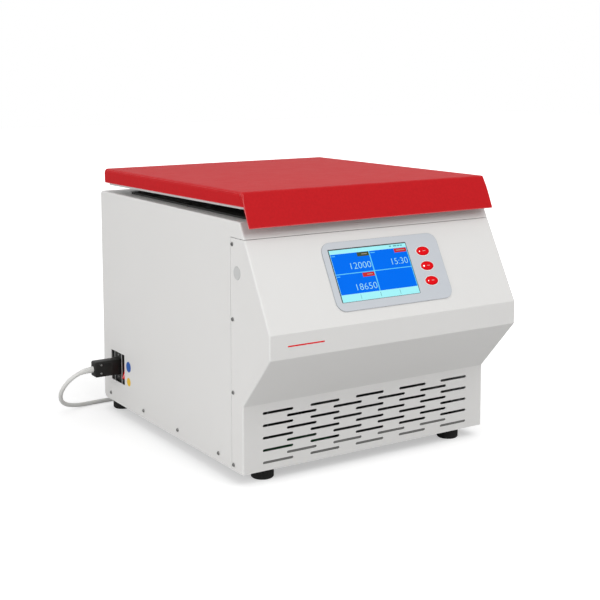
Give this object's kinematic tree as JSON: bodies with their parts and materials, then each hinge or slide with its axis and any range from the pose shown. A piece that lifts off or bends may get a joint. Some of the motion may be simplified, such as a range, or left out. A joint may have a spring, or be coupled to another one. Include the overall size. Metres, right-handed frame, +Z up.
{
  "type": "bench-top centrifuge",
  "caption": "Bench-top high-speed centrifuge: sheet-metal casing with a sloping front display, red hinged lid over a fixed-angle rotor in its chamber, side mains inlet and cord.",
  "frame": {"origin": "on the table, under the middle of the casing", "axes": "+X to the operator's right, +Y from the front to the back, +Z up"},
  "size_m": [0.596, 0.7791, 0.4671],
  "materials": {
    "off_white_paint": "fine satin powder coat",
    "zinc_plate": "zinc plated",
    "black_rubber": "matt",
    "black_plastic": "fine grain",
    "steel": "satin",
    "aluminium": "anodised",
    "red_paint": "semi-gloss powder coat",
    "light_grey_paint": "satin",
    "fascia_grey": "printed film",
    "screen_blue": "lit display",
    "red_key": "moulded",
    "circuit_board": "solder mask",
    "cord_grey": "soft sheath"
  },
  "bodies": {
    "chassis": {"base_pan": "zinc_plate", "chamber_plate": "zinc_plate", "control_board": "circuit_board", "cooling_fan": "black_plastic", "cord_coil": "cord_grey", "cord_connector": "black_plastic", "deck_liner": "black_plastic", "display_fascia": "fascia_grey", "display_glass": "screen_blue", "display_module": "zinc_plate", "drive_inverter": "aluminium", "drive_motor": "steel", "foot_front_left": "black_rubber", "foot_front_right": "black_rubber", "foot_rear_left": "black_rubber", "foot_rear_right": "black_rubber", "front_panel": "off_white_paint", "guard_ring": "steel", "hinge_bracket_left": "zinc_plate", "hinge_bracket_right": "zinc_plate", "hinge_pin_left": "steel", "hinge_pin_right": "steel", "housing": "off_white_paint", "inlet_plate": "light_grey_paint", "key_board": "circuit_board", "latch_case": "zinc_plate", "latch_motor": "black_plastic", "lid_seal": "black_rubber", "mains_cord": "cord_grey", "mains_inlet": "black_plastic", "mains_switch": "black_plastic", "motor_damper_1": "black_rubber", "motor_damper_2": "black_rubber", "motor_damper_3": "black_rubber", "plate_stand_left": "zinc_plate", "plate_stand_right": "zinc_plate", "power_supply": "zinc_plate", "rear_panel": "off_white_paint", "rotor_bowl": "steel", "spindle_boot": "black_rubber", "upright_left": "zinc_plate", "upright_right": "zinc_plate", "wall_plug": "cord_grey"},
    "lid": {"lid_cover": "red_paint", "lid_tray": "light_grey_paint", "lid_armour": "steel", "lid_striker": "steel", "hinge_leaf_left": "zinc_plate", "hinge_leaf_right": "zinc_plate"},
    "drive": {"spindle": "steel", "rotor": "aluminium", "rotor_nut": "black_plastic"},
    "fan": {"fan_impeller": "black_plastic"},
    "lower_key": {"key_lower": "red_key"},
    "middle_key": {"key_middle": "red_key"},
    "upper_key": {"key_upper": "red_key"},
    "rocker": {"mains_rocker": "red_key"},
    "latch": {"latch_hook": "steel"},
    "release": {"release_pull": "fascia_grey"}
  },
  "joints": [
    {"name": "lid_hinge", "type": "hinge", "parent": "chassis", "child": "lid", "pos_m": [0, 0.301, 0.431], "axis": [-1, 0, 0], "range_deg": [0, 75]},
    {"name": "rotor_spin", "type": "hinge", "parent": "chassis", "child": "drive", "pos_m": [0, 0.015, 0.3], "axis": [0, 0, 1], "continuous": true},
    {"name": "fan_spin", "type": "hinge", "parent": "chassis", "child": "fan", "pos_m": [0.12, 0.2795, 0.15], "axis": [0, 1, 0], "continuous": true},
    {"name": "key_lower_press", "type": "slide", "parent": "chassis", "child": "lower_key", "axis": [0, 0.8768, -0.4808], "range_m": [0, 0.0008], "stiffness_N_per_m": 900, "springref_m": -0.0008},
    {"name": "key_middle_press", "type": "slide", "parent": "chassis", "child": "middle_key", "axis": [0, 0.8768, -0.4808], "range_m": [0, 0.0008], "stiffness_N_per_m": 900, "springref_m": -0.0008},
    {"name": "key_upper_press", "type": "slide", "parent": "chassis", "child": "upper_key", "axis": [0, 0.8768, -0.4808], "range_m": [0, 0.0008], "stiffness_N_per_m": 900, "springref_m": -0.0008},
    {"name": "rocker_tilt", "type": "hinge", "parent": "chassis", "child": "rocker", "pos_m": [-0.2395, 0.2203, 0.087], "axis": [0, -1, 0], "range_deg": [0, 20]},
    {"name": "latch_turn", "type": "hinge", "parent": "chassis", "child": "latch", "pos_m": [0, -0.196, 0.365], "axis": [-1, 0, 0], "range_deg": [0, 25]},
    {"name": "release_slide", "type": "slide", "parent": "chassis", "child": "release", "axis": [-1, 0, 0], "range_m": [0, 0.025]}
  ]
}
